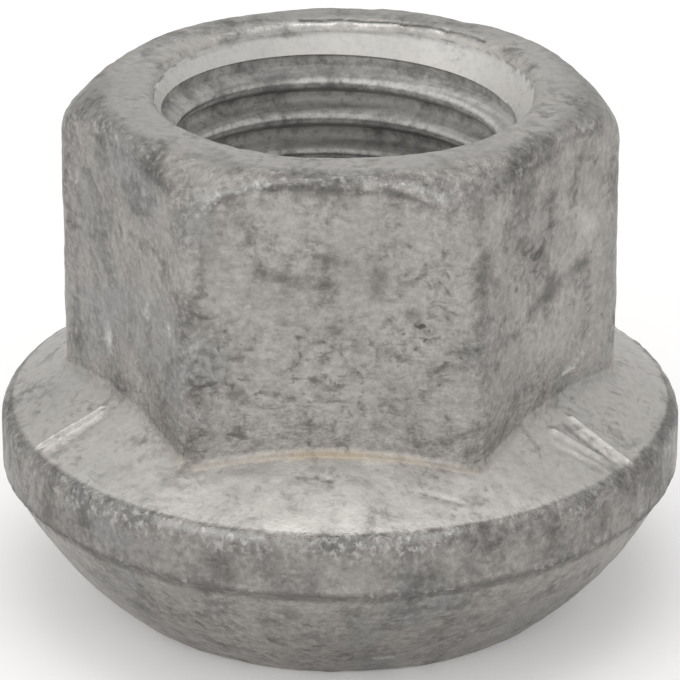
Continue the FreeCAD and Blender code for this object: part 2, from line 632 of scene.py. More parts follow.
        # Painted shade: deeper down, in the first turn under the countersink, in each groove's upper part under
        # the crest above, and on the crests
        inside = below.ramped(*self.inner_turns, 0.0, self.inner_shade)
        inside = inside.at_least(below.ramped(*self.first_turn, self.first_turn_shade, 0.0)) * bare
        upper = from_root.ramped(-1.0, 1.0, 0.0, self.under_crest_shade) * bare
        lip = below.ramped(*self.lip_line, sine.at_least(0.0), 0.0)
        stain_and_shade = upper.at_least(crest * self.crest_shade + inside).at_least(lip)
        depth = depth * bare + cone * self.cone_chalk
        for zone, value in ((Zone.THREAD, depth), (Zone.STAIN_AND_SHADE, stain_and_shade), (Zone.PALE_AND_LIGHT, cone)):
            shape = found(tree, "GeometryNodeStoreNamedAttribute",
                          {"Geometry": shape, "Value": value, "Name": zone.value}, data_type="FLOAT",
                          domain="POINT")
        finish_tree(given, found(tree, "GeometryNodeMergeByDistance", {"Geometry": shape, "Distance": self.weld}))
        return tree


@dataclass(frozen=True)
class Mark:
    """One mark on the outside: a worn line, a rubbed spot, a stain, a cracked area, a patch of painted shade or a
    painted highlight.

    The places give azimuth in degrees and then what the face says, in mm; a spot has no end. The width, the
    height if it isn't the width, and the lift of the skin are in mm.
    """

    width: float
    start: tuple[float, float]
    end: tuple[float, float] | None = None
    tall: float = 0.0
    lift: float = 0.0
    shine: float = 0.0
    stain_and_shade: float = 0.0
    pale: float = 0.0
    crack: float = 0.0

    def weight(self, sizes: NutSizes, face: Face, points: np.ndarray) -> np.ndarray:
        """Give how much each point belongs to the mark.

        Args:
            sizes: The nut's sizes.
            face: The face that the mark lies on.
            points: The points of the skin.

        Returns:
            1 in the middle of the mark, falling softly to 0.
        """
        start = self.nearest(points, sizes.spot(face, *self.start))
        apart = points - start
        if self.end is not None:
            along = self.nearest(points, sizes.spot(face, *self.end)) - start
            share = np.clip(apart @ along / (along @ along), 0.0, 1.0)
            apart = apart - share[:, None] * along
        scale = np.array([self.width, self.width, self.tall or self.width]) * MM
        return np.exp(-np.sum((apart / scale) ** 2, axis=1))

    @staticmethod
    def nearest(points: np.ndarray, place: np.ndarray) -> np.ndarray:
        """Give the skin's point that lies nearest to a place."""
        return points[np.argmin(np.sum((points - place) ** 2, axis=1))]


TOP_MARKS = (
    # Turning left a torn line around the countersink's rim: a sunken line with painted shade in it and a raised
    # line with a painted highlight; painted shade darkens the far part of the top
    Mark(0.13, (102.0, 7.8), (88.0, 7.78), lift=-0.06, stain_and_shade=1.6),
    Mark(0.13, (88.0, 7.78), (71.0, 7.8), lift=-0.06, stain_and_shade=1.6),
    Mark(0.12, (71.0, 7.8), (57.0, 7.74), lift=-0.05, stain_and_shade=1.6),
    Mark(0.12, (57.0, 7.74), (43.0, 7.82), lift=-0.05, stain_and_shade=1.4),
    Mark(0.14, (104.0, 7.46), (88.0, 7.46), lift=0.04, shine=1.2),
    Mark(0.14, (88.0, 7.46), (73.0, 7.46), lift=0.04, shine=1.2),
    Mark(0.12, (73.0, 7.46), (59.0, 7.48), lift=0.04, shine=1.0),
    Mark(0.16, (127.4, 7.6), (118.0, 7.7), shine=0.7),
    Mark(0.2, (141.6, 7.6), shine=0.7),
    Mark(0.7, (130.0, 8.4), (110.0, 8.5), stain_and_shade=0.5),
    Mark(0.8, (110.0, 8.5), (90.0, 8.5), stain_and_shade=0.6),
    Mark(0.8, (90.0, 8.5), (70.0, 8.5), stain_and_shade=0.6),
    Mark(0.7, (70.0, 8.5), (50.0, 8.4), stain_and_shade=0.5),
)

SIDE_MARKS = (
    # The shoulder was turned down last, which left an uneven groove along the top of each side; painted shade
    # darkens it, painted highlights light the edge and the front's two top corners, and a darker line runs down
    # the front's left corner
    Mark(0.14, (-111.5, 19.95), (-101.0, 20.15), lift=-0.05, stain_and_shade=1.2),
    Mark(0.14, (-101.0, 20.15), (-93.5, 20.05), lift=-0.06, stain_and_shade=1.2),
    Mark(0.13, (-93.5, 20.05), (-85.5, 19.9), lift=-0.05, stain_and_shade=1.2),
    Mark(0.15, (-85.5, 19.9), (-79.5, 19.95), lift=-0.06, stain_and_shade=1.2),
    Mark(0.13, (-79.5, 19.95), (-72.0, 19.65), lift=-0.05, stain_and_shade=1.2),
    Mark(0.18, (-116.5, 19.75), (-108.0, 20.4), lift=0.02, shine=0.8),
    Mark(0.12, (-108.0, 20.4), (-95.0, 20.5), lift=0.02, shine=0.7),
    Mark(0.12, (-84.0, 20.4), (-76.0, 20.35), lift=0.02, shine=0.7),
    Mark(0.18, (-76.0, 20.3), (-69.0, 19.9), lift=0.02, shine=0.8),
    Mark(0.15, (-111.5, 19.95), (-116.5, 19.3), lift=-0.03, stain_and_shade=1.0),
    Mark(0.14, (-116.5, 19.3), (-118.5, 18.1), stain_and_shade=0.7),
    Mark(0.16, (-118.5, 18.1), (-118.5, 16.0), stain_and_shade=0.7),
    Mark(0.15, (-118.0, 15.8), (-124.3, 15.4), lift=-0.04, stain_and_shade=0.9),
    Mark(0.22, (-128.4, 19.45), (-139.0, 19.75), lift=-0.05, stain_and_shade=1.2),
    Mark(0.2, (-139.0, 19.75), (-150.0, 19.8), lift=-0.04, stain_and_shade=1.15),
    Mark(0.22, (-150.0, 19.8), (-166.0, 19.6), lift=-0.04, stain_and_shade=1.0),
    Mark(0.2, (-54.7, 19.9), (-40.0, 19.7), lift=-0.05, stain_and_shade=0.8),
    Mark(0.18, (-40.0, 19.7), (-27.5, 19.9), lift=-0.05, stain_and_shade=0.8),
    Mark(0.25, (-27.5, 19.9), (-11.0, 19.6), lift=-0.04, stain_and_shade=0.9),
    Mark(0.6, (-11.0, 19.5), tall=0.45, stain_and_shade=0.7),
    Mark(0.45, (-118.0, 19.75), tall=0.28, shine=0.9),
    Mark(0.45, (-68.5, 19.8), tall=0.3, shine=0.9),
    # Scale, handling and the tumbling drum left stains, pits, scratches and rubbed spots; a darker line runs down
    # the front's right corner, and broad painted shade darkens the upper right and left sides
    Mark(0.3, (-173.5, 17.45), tall=0.45, lift=-0.12, shine=0.9),
    Mark(0.13, (-167.0, 17.9), (-161.0, 17.3), lift=-0.04, stain_and_shade=0.9),
    Mark(0.13, (-161.0, 17.3), (-161.5, 16.2), lift=-0.04, stain_and_shade=0.9),
    Mark(0.11, (-177.8, 15.1), (-165.0, 15.3), stain_and_shade=1.1),
    Mark(0.35, (-159.1, 11.5), tall=0.6, lift=-0.04, shine=1.0),
    Mark(0.22, (-137.3, 14.0), tall=0.35, shine=0.8),
    Mark(0.2, (-128.6, 13.9), tall=0.4, shine=0.7),
    Mark(0.95, (-102.7, 16.5), tall=0.3, stain_and_shade=1.2),
    Mark(0.5, (-81.6, 16.35), tall=0.75, stain_and_shade=1.1),
    Mark(0.4, (-74.2, 15.2), tall=0.3, stain_and_shade=1.2),
    Mark(0.85, (-88.8, 18.1), tall=0.35, stain_and_shade=0.5),
    Mark(0.18, (-75.3, 17.8), stain_and_shade=1.3),
    Mark(0.14, (-67.5, 16.7), stain_and_shade=1.3),
    Mark(0.13, (-67.5, 16.1), stain_and_shade=1.3),
    Mark(0.14, (-67.8, 15.1), tall=0.28, stain_and_shade=1.3),
    Mark(0.15, (-68.7, 17.7), tall=0.25, stain_and_shade=1.1),
    Mark(0.28, (-110.6, 15.8), stain_and_shade=0.9),
    Mark(0.2, (-109.6, 15.3), shine=0.5),
    Mark(0.09, (-99.6, 14.15), (-93.9, 13.85), lift=-0.07, stain_and_shade=1.3),
    Mark(0.07, (-93.9, 13.85), (-89.9, 13.6), lift=-0.05, stain_and_shade=1.1),
    Mark(0.17, (-92.4, 13.2), stain_and_shade=1.2),
    Mark(0.07, (-75.2, 13.9), (-68.1, 14.15), lift=-0.05, shine=0.5),
    Mark(0.11, (-116.9, 12.8), (-109.5, 13.7), lift=-0.03, stain_and_shade=1.2),
    Mark(0.13, (-104.7, 11.8), (-100.2, 11.75), lift=-0.03, stain_and_shade=1.2),
    Mark(0.55, (-97.1, 10.65), tall=0.16, stain_and_shade=1.1),
    Mark(0.35, (-81.0, 10.5), tall=0.18, stain_and_shade=0.9),
    Mark(0.16, (-67.6, 10.9), tall=0.22, stain_and_shade=1.3),
    Mark(0.2, (-68.3, 9.9), stain_and_shade=1.3),
    Mark(0.15, (-63.7, 9.6), tall=0.3, stain_and_shade=1.3),
    Mark(0.28, (-120.7, 11.9), tall=0.5, stain_and_shade=1.1),
    Mark(0.25, (-121.3, 10.0), tall=0.3, stain_and_shade=1.2),
    Mark(0.34, (-60.4, 19.3), (-60.4, 11.5), stain_and_shade=0.6),
    Mark(0.35, (-38.4, 17.8), (-38.3, 17.0), stain_and_shade=0.6),
    Mark(0.35, (-42.0, 13.9), (-35.3, 14.1), stain_and_shade=1.1),
    Mark(0.4, (-35.3, 14.1), (-21.4, 14.5), stain_and_shade=0.9),
    Mark(0.3, (-21.4, 14.5), (-16.0, 14.3), stain_and_shade=1.1),
    Mark(0.45, (-25.8, 17.2), (-15.0, 15.9), pale=0.5),
    Mark(0.1, (-48.4, 15.2), stain_and_shade=1.3),
    Mark(0.14, (-9.3, 11.7), stain_and_shade=1.3),
    Mark(0.12, (-50.8, 19.2), stain_and_shade=1.3),
    Mark(0.08, (-26.9, 10.35), (-21.8, 10.4), lift=0.05, shine=1.0),
    Mark(0.1, (-21.8, 10.4), (-17.7, 10.75), lift=0.04, shine=0.9),
    # Broad painted shade on the upper right and left sides
    Mark(4.5, (-35.0, 17.5), tall=2.5, stain_and_shade=0.65),
    Mark(3.5, (-164.0, 17.0), tall=2.5, stain_and_shade=0.55),
    Mark(3.4, (-97.0, 12.0), tall=2.6, crack=1.0),
    Mark(1.5, (-70.0, 14.5), tall=4.0, crack=0.9),
    Mark(1.6, (-114.0, 12.5), tall=3.5, crack=0.9),
    Mark(2.6, (-40.0, 16.5), tall=2.8, crack=0.7),
)

COLLAR_MARKS = (
    # The die left a raised double line in the middle of two sides, with painted shade in the grooves beside it
    Mark(0.1, (-155.2, 12.75), (-153.4, 10.25), lift=0.1, shine=1.0),
    Mark(0.1, (-153.2, 12.6), (-152.0, 10.45), lift=0.08, shine=0.8),
    Mark(0.14, (-154.2, 12.6), (-152.8, 10.5), lift=-0.07, shine=0.2),
    Mark(0.2, (-150.9, 12.6), (-150.2, 10.3), lift=-0.05, stain_and_shade=0.25),
    Mark(0.12, (-31.2, 10.45), (-31.1, 12.9), lift=0.1, shine=1.0),
    Mark(0.14, (-38.6, 10.4), (-35.2, 12.15), lift=0.09, shine=0.9),
    Mark(0.2, (-34.6, 10.5), (-33.2, 12.4), lift=-0.1, stain_and_shade=0.55),
    Mark(0.09, (-38.9, 11.6), (-36.9, 12.55), lift=0.05, shine=0.6),
    Mark(0.12, (-42.0, 10.9), (-39.5, 11.9), lift=-0.04, stain_and_shade=0.3),
    Mark(0.13, (-28.4, 10.0), lift=-0.08, stain_and_shade=1.0),
    # Small stains, scratches and rubbed spots, as on the sides, and painted shade on the collar's far left
    Mark(0.1, (-98.1, 10.55), (-91.3, 10.65), lift=-0.03, stain_and_shade=0.9),
    Mark(0.17, (-94.5, 10.5), stain_and_shade=0.9),
    Mark(0.12, (-82.1, 11.2), stain_and_shade=1.0),
    Mark(0.18, (-85.2, 11.3), stain_and_shade=0.7),
    Mark(0.07, (-73.9, 11.4), (-68.4, 12.0), lift=-0.05, stain_and_shade=1.0),
    Mark(0.08, (-68.4, 12.0), (-70.1, 12.5), lift=-0.05, stain_and_shade=0.9),
    Mark(0.08, (-111.0, 11.7), (-109.5, 11.7), stain_and_shade=0.8),
    Mark(0.16, (-124.4, 11.6), stain_and_shade=0.9),
    Mark(0.06, (-123.4, 12.4), (-118.4, 12.1), lift=-0.03, stain_and_shade=0.7),
    Mark(0.12, (-74.4, 12.9), stain_and_shade=0.9),
    Mark(0.1, (-83.1, 12.9), stain_and_shade=0.8),
    Mark(0.3, (-147.5, 12.9), lift=-0.08, stain_and_shade=1.0),
    Mark(0.22, (-121.5, 13.2), (-112.0, 13.2), lift=0.03, shine=0.7),
    Mark(0.24, (-112.0, 13.2), (-102.5, 13.2), lift=0.03, shine=0.8),
    Mark(0.18, (-79.5, 13.2), (-70.6, 13.1), lift=0.02, shine=0.7),
    Mark(0.45, (-35.2, 12.75), stain_and_shade=0.8),
    # Painted shade on the collar's far left
    Mark(2.6, (-172.0, 11.8), stain_and_shade=0.45),
    Mark(0.45, (-20.0, 13.1), (-9.4, 13.1), stain_and_shade=0.9),
)

RIM_MARKS = (
    Mark(0.3, (-84.4, 6.7), tall=0.45, stain_and_shade=1.0),
    Mark(0.45, (-78.8, 6.6), tall=0.4, stain_and_shade=0.9),
    Mark(0.2, (-89.6, 6.8), tall=0.55, stain_and_shade=0.9),
    Mark(0.3, (-109.9, 6.5), tall=0.6, stain_and_shade=1.0),
    Mark(0.45, (-120.1, 6.9), tall=0.3, stain_and_shade=0.9),
    Mark(0.2, (-57.5, 7.1), tall=0.4, stain_and_shade=0.9),
    Mark(0.25, (-30.5, 5.8), shine=0.7),
)

BALL_MARKS = (
    Mark(0.08, (-117.0, 2.8), (-115.9, 2.5), lift=-0.05, stain_and_shade=1.0),
    Mark(0.08, (-115.5, 2.5), (-111.9, 2.9), lift=0.04, shine=0.6),
    Mark(0.12, (-103.2, 2.5), (-100.4, 2.3), stain_and_shade=0.9),
    Mark(0.15, (-88.8, 4.3), (-85.7, 4.3), stain_and_shade=0.6),
    Mark(0.15, (-80.9, 2.2), stain_and_shade=1.0),
    Mark(0.08, (-83.3, 1.35), (-79.4, 1.25), shine=0.8),
    Mark(0.22, (-64.2, 2.5), shine=0.6),
    Mark(0.15, (-118.0, 3.3), (-115.6, 3.4), stain_and_shade=0.8),
    Mark(0.08, (-104.0, 3.6), (-101.8, 3.7), stain_and_shade=0.8),
)

MARKS = {Face.TOP: TOP_MARKS, Face.SIDE: SIDE_MARKS, Face.COLLAR: COLLAR_MARKS, Face.RIM: RIM_MARKS,
         Face.BALL: BALL_MARKS}


@dataclass
class NutBody:
    """Everything outside the thread: top, shoulder, hexagon, collar, rim, ball seat and foot, as one skin."""

    sizes: NutSizes
    columns: int = 480
    corner_crowd: tuple = (4.0, 1.3)
    line_crowds: tuple = ((-152.0, 4.0, 3.0), (-33.0, 5.5, 3.0))
    shoulder_blend: float = 0.8 * MM
    corner_blend: float = 1.0 * MM
    full_share: float = 0.7
    full_azimuth: float = 130.0
    base_round: float = 0.45 * MM
    rim_round: float = 0.72 * MM
    step_round: float = 0.06 * MM
    reach_on: float = 1.0 * MM
    foot_round: float = 0.35 * MM
    corner_edge_share: float = 0.45
    corner_reach: float = 0.55 * MM
    mouth_pale: float = 0.8
    mouth_stain: float = 0.15
    top_pale: float = 0.75
    shoulder_pale: float = 0.65
    pale_fall: float = 0.13
    tan_row: float = 4.0
    tan_rows: float = 5.0
    step_shade: float = 1.2
    shaded_rows: int = 2
    rim_shade: float = 0.62
    ball_shade: float = 0.15
    crack_share: float = 0.35
    tan_azimuth: float = -92.0
    tan_spread: float = 30.0
    rows: list = field(default_factory=list)
    shares: list = field(default_factory=list)
    edges: list = field(default_factory=list)

    def build(self) -> bpy.types.Mesh:
        """Build the skin from its rows.

        Returns:
            A mesh that ends at the bore's columns on the two countersinks' rims.
        """
        size = self.sizes
        angles = self.spaced_angles()
        sides = self.lay_rows(size.hexagon_reach(angles), angles)
        skin = np.concatenate([around(row[:, 0], angles, row[:, 1]) for row in self.rows])
        bore = FULL_TURN * np.arange(size.bore_columns) / size.bore_columns
        rims = [around(size.top_rim_at(bore, size.mouth_drop), bore, size.height - size.mouth_drop),
                around(size.foot_rim, bore, 0.0)]
        faces = self.skin_faces()
        last_row = (len(self.rows) - 1) * self.columns
        faces += self.zipped(bore, len(skin), angles, 0)
        faces += self.zipped(bore, len(skin) + size.bore_columns, angles, last_row)
        mesh = bpy.data.meshes.new("nut_skin")
        mesh.from_pydata(np.concatenate([skin] + rims).tolist(), [], faces)
        self.store_zones(mesh, skin, angles, sides)
        return mesh

    def spaced_angles(self) -> np.ndarray:
        """Space the columns, closer together at the hexagon's corners and at the lines on the collar.

        A crowd of columns has a width in degrees and says how many more columns it gets.

        Returns:
            One angle for each column.
        """
        fine = np.linspace(0.0, FULL_TURN, 7201)
        weight = np.ones_like(fine)
        crowds = [(60.0 * corner, *self.corner_crowd) for corner in range(6)] + list(self.line_crowds)
        for middle, width, extra in crowds:
            away = (np.degrees(fine - self.sizes.hexagon_turn) - middle + 180.0) % 360.0 - 180.0
            weight += extra * np.exp(-(away / width) ** 2)
        total = np.concatenate([[0.0], np.cumsum(weight[1:] + weight[:-1])])
        return np.interp(np.arange(self.columns) / self.columns * total[-1], total, fine)

    def add(self, rows: list, shares: dict | list | None = None) -> None:
        """Add rows of the skin.

        Args:
            rows: Radius and height at each column, for each row.
            shares: The zones that the rows belong to, with how much; a list has its own for each row.
        """
        self.rows += rows
        self.shares += shares if isinstance(shares, list) else [shares or {}] * len(rows)

    def straight(self, start: np.ndarray, end: np.ndarray, count: int, shares: dict | None = None) -> None:
        """Add the rows between two corners, without the ends."""
        self.add([start + (end - start) * step / count for step in range(1, count)], shares)

    def level(self, radius: object, height: float) -> np.ndarray:
        """Give a row at the same height at every column, with one radius or one for each column."""
        return np.stack([np.zeros(self.columns) + radius, np.full(self.columns, height)], axis=1)

    @staticmethod
    def blended(before: np.ndarray, first: np.ndarray, second: np.ndarray, after: np.ndarray,
                width: np.ndarray, count: int, samples: int = 17) -> list:
        """Round two neighbouring corners of the section together, by averaging along it.

        Args:
            before: The section's last corner.
            first: The first corner to round.
            second: The second corner to round.
            after: The section's next corner.
            width: How far along the section the averaging reaches, for each column.
            count: How many steps the round has.
            samples: How many points of the section each average takes.

        Returns:
            The rows from the start of the round to its end.
        """
        length = np.linalg.norm(second - first, axis=1, keepdims=True)
        ways = [unit(end - start) for start, end in ((before, first), (first, second), (second, after))]

        def at(along: np.ndarray) -> np.ndarray:
            """Give the unrounded section's point at this length after the first corner."""
            middle = first + ways[1] * np.clip(along, 0.0, length)
            return middle + ways[0] * np.minimum(along, 0.0) + ways[2] * np.maximum(along - length, 0.0)

        shifts = [width * share for share in np.linspace(-0.5, 0.5, samples)]
        starts = [-width / 2.0 + (length + width) * step / count for step in range(count + 1)]
        return [np.mean([at(start + shift) for shift in shifts], axis=0) for start in starts]

    def corner(self, before: np.ndarray, at: np.ndarray, after: np.ndarray, radius: float,
               count: int) -> list:
        """Round one corner of the section at each column.

        Args:
            before: The section's last corner.
            at: The corner to round.
            after: The section's next corner.
            radius: The round's radius.
            count: How many steps the round has.

        Returns:
            The rows from the start of the round to its end.
        """
        back, onwards = unit(before - at), unit(after - at)
        half = np.arccos(np.clip(np.sum(back * onwards, axis=1), -1.0, 1.0)) / 2.0
        reach = (radius / np.tan(half))[:, None]
        centre = at + unit(back + onwards) * (radius / np.sin(half))[:, None]
        start, end = at + back * reach, at + onwards * reach
        return [centre + unit((start - centre) * (1.0 - share) + (end - centre) * share) * radius
                for share in np.linspace(0.0, 1.0, count + 1)]

    def lay_rows(self, reach: np.ndarray, angles: np.ndarray) -> slice:
        """Lay the rows of the section from the top countersink's rim, over the outside, to the foot's rim.

        Args:
            reach: How far the hexagon reaches at each column.
            angles: The columns' angles.

        Returns:
            Which rows are the hexagon's sides.
        """
        size, level = self.sizes, self.level
        fall = (reach - size.shoulder_start) * math.tan(size.shoulder_slope)
        collar = size.rim_top + (size.collar_radius - reach) * math.tan(size.collar_slope)
        top_rim = level(size.top_rim_at(angles), size.height)
        bend = level(size.shoulder_start, size.height)
        shoulder = np.stack([reach, size.height - fall], axis=1)
        base = np.stack([reach, collar], axis=1)
        rim = level(size.collar_radius, size.rim_top)
        rim_foot = level(size.collar_radius, size.rim_foot)
        seat = level(size.seat_top_radius, size.rim_foot)
        foot = level(size.foot_radius, 0.0)
        foot_rim = level(size.foot_rim + size.zip_gap, 0.0)
        mouth = level(size.top_rim_at(angles, self.reach_on), size.height - self.reach_on)
        ball = level(size.foot_radius + self.reach_on, size.foot_radius / size.ball_centre * self.reach_on)

        jut = (reach - reach.min()) / (reach.max() - reach.min())
        fuller = 1.0 - self.full_share * np.maximum(np.cos(angles - math.radians(self.full_azimuth)), 0.0)
        blend = (self.shoulder_blend + self.corner_blend * jut ** 2 * fuller)[:, None]
        mouth_rows = self.corner(mouth, top_rim, bend, size.rim_round, count=5)
        shoulder_rows = self.blended(top_rim, bend, shoulder, base, blend, count=13)
        base_rows = self.corner(shoulder, base, rim, self.base_round, count=6)
        rim_rows = self.corner(base, rim, rim_foot, self.rim_round, count=8)
        step_rows = self.corner(rim, rim_foot, seat, self.step_round, count=3)
        foot_rows = self.corner(ball, foot, foot_rim, self.foot_round, count=4)

        # Each worn edge, with how much and how far around it
        self.edges = [(top_rim, 0.6, 0.25 * MM), (shoulder, 0.75, 0.6 * MM), (rim, 1.0, 0.65 * MM),
                      (rim_foot, 0.7, 0.3 * MM)]
        # The pale zone holds a thick chalky coat and painted light: the mouth, top, shoulder and collar look up
        # and are painted lighter, less so down the shoulder and over the base
        self.add(mouth_rows, {Zone.PALE_AND_LIGHT: self.mouth_pale, Zone.STAIN_AND_SHADE: self.mouth_stain})
        self.straight(mouth_rows[-1], shoulder_rows[0], count=6, shares={Zone.PALE_AND_LIGHT: self.top_pale})
        self.add(shoulder_rows, [{Zone.PALE_AND_LIGHT: max(0.0, self.shoulder_pale - self.pale_fall * step)}
                                 for step in range(len(shoulder_rows))])
        first_side = len(self.rows)
        self.straight(shoulder_rows[-1], base_rows[0], count=46)
        sides = slice(first_side, len(self.rows))
        self.add(base_rows, [{Zone.BASE: math.exp(-(step - self.tan_row) ** 2 / self.tan_rows),
                              Zone.PALE_AND_LIGHT: step / len(base_rows)} for step in range(len(base_rows))])
        self.straight(base_rows[-1], rim_rows[0], count=20, shares={Zone.PALE_AND_LIGHT: 1.0})
        # Painted shade: the rim darkens towards its foot, and the step under it darker still
        self.add(rim_rows, [{Zone.STAIN_AND_SHADE: self.rim_shade * step / len(rim_rows)} for step in range(len(rim_rows))])
        self.straight(rim_rows[-1], step_rows[0], count=8, shares={Zone.STAIN_AND_SHADE: self.rim_shade})
        self.add(step_rows, {Zone.STAIN_AND_SHADE: self.step_shade})
        self.lay_ball(foot_rows[0])
        self.add(foot_rows)
        self.straight(foot_rows[-1], foot_rim, count=4)
        self.add([foot_rim])
        return sides

    def lay_ball(self, foot_start: np.ndarray, count: int = 26) -> None:
        """Lay the rows of the ball seat, from under the rim to the foot's round, with painted shade: dark in the
        rows under the rim, light over the rest.

        Args:
            foot_start: Where the foot's round starts.
            count: How many steps the ball has.
        """
        size = self.sizes
        top_angle = math.asin(size.seat_top_radius / size.ball_radius)
        foot_angle = math.asin(foot_start[0, 0] / size.ball_radius)
        radius, centre = size.ball_radius, size.ball_centre
        self.add([self.level(radius * math.sin(angle), centre - radius * math.cos(angle))
                  for angle in np.linspace(top_angle, foot_angle, count, endpoint=False)],
                 [{Zone.STAIN_AND_SHADE: 1.0 if step < self.shaded_rows else self.ball_shade} for step in range(count)])

    def skin_faces(self) -> list:
        """Give the four-sided faces between the rows."""
        here = np.arange(len(self.rows) - 1)[:, None] * self.columns + np.arange(self.columns)[None, :]
        beside = np.roll(here, -1, axis=1)
        return np.stack([here, here + self.columns, beside + self.columns, beside], axis=2).reshape(-1, 4).tolist()

    @staticmethod
    def zipped(inner: np.ndarray, inner_first: int, outer: np.ndarray, outer_first: int) -> list:
        """Join two rings of different counts with triangles.

        Args:
            inner: The angles of the first ring.
            inner_first: The number of its first point.
            outer: The angles of the second ring.
            outer_first: The number of its first point.

        Returns:
            The triangles as lists of point numbers.
        """
        faces = []
        i = j = 0
        next_inner, next_outer = (np.append(ring[1:], [FULL_TURN + ring[0], math.inf]) for ring in (inner, outer))
        while i < len(inner) or j < len(outer):
            here_inner = inner_first + i % len(inner)
            here_outer = outer_first + j % len(outer)
            if next_inner[i] < next_outer[j]:
                i += 1
                faces.append([here_inner, here_outer, inner_first + i % len(inner)])
            else:
                j += 1
                faces.append([here_inner, here_outer, outer_first + j % len(outer)])
        return faces

    def store_zones(self, mesh: bpy.types.Mesh, skin: np.ndarray, angles: np.ndarray, sides: slice) -> None:
        """Store on each point what lies there.

        Args:
            mesh: The mesh, which has the two rims' points after the skin's.
            skin: The skin's points.
            angles: The columns' angles.
            sides: Which rows are the hexagon's sides.
        """
        count = len(self.rows)
        grid = skin.reshape(count, self.columns, 3)
        wear = np.zeros((count, self.columns))
        section = np.stack(self.rows)
        for edge, strength, reach in self.edges:
            apart = np.linalg.norm(section - edge[None], axis=2)
            wear = np.maximum(wear, strength * np.exp(-(apart / reach) ** 2))
        # Darker and nicked along the hexagon's vertical corners, which get a share of the edge zone
        sixth = math.pi / 3.0
        from_corner = np.abs((angles - self.sizes.hexagon_turn + sixth / 2.0) % sixth - sixth / 2.0)
        apart = from_corner[None, :] * np.hypot(grid[sides, :, 0], grid[sides, :, 1])
        wear[sides] = np.maximum(wear[sides], self.corner_edge_share * np.exp(-(apart / self.corner_reach) ** 2))
        off_front = (np.degrees(angles) - self.tan_azimuth + 180.0) % 360.0 - 180.0
        zones = {zone: np.repeat([share.get(zone, 0.0) for share in self.shares], self.columns)
                 for zone in (Zone.BASE, Zone.PALE_AND_LIGHT, Zone.STAIN_AND_SHADE)}
        zones[Zone.BASE] *= np.tile(np.exp(-(off_front / self.tan_spread) ** 2), count)
        zones |= {Zone.EDGE: wear.ravel(), Zone.SKIN: np.ones(len(skin)), Zone.RELIEF: np.zeros(len(skin)),
                  Zone.SHINE_AND_HIGHLIGHT: np.zeros(len(skin)), Zone.CRACK: np.full(len(skin), self.crack_share)}
        for face, mark in ((face, mark) for face, marks in MARKS.items() for mark in marks):
            weight = mark.weight(self.sizes, face, skin)
            zones[Zone.RELIEF] += weight * mark.lift * MM
            for zone, strength in ((Zone.SHINE_AND_HIGHLIGHT, mark.shine), (Zone.STAIN_AND_SHADE, mark.stain_and_shade), (Zone.PALE_AND_LIGHT, mark.pale),
                                   (Zone.CRACK, mark.crack)):
                zones[zone] = np.maximum(zones[zone], weight * strength)
        rims = np.zeros(len(mesh.vertices) - len(skin))
        for zone, values in zones.items():
            layer = mesh.attributes.new(zone.value, "FLOAT", "POINT")
            layer.data.foreach_set("value", np.concatenate([values, rims]).astype(np.float32))


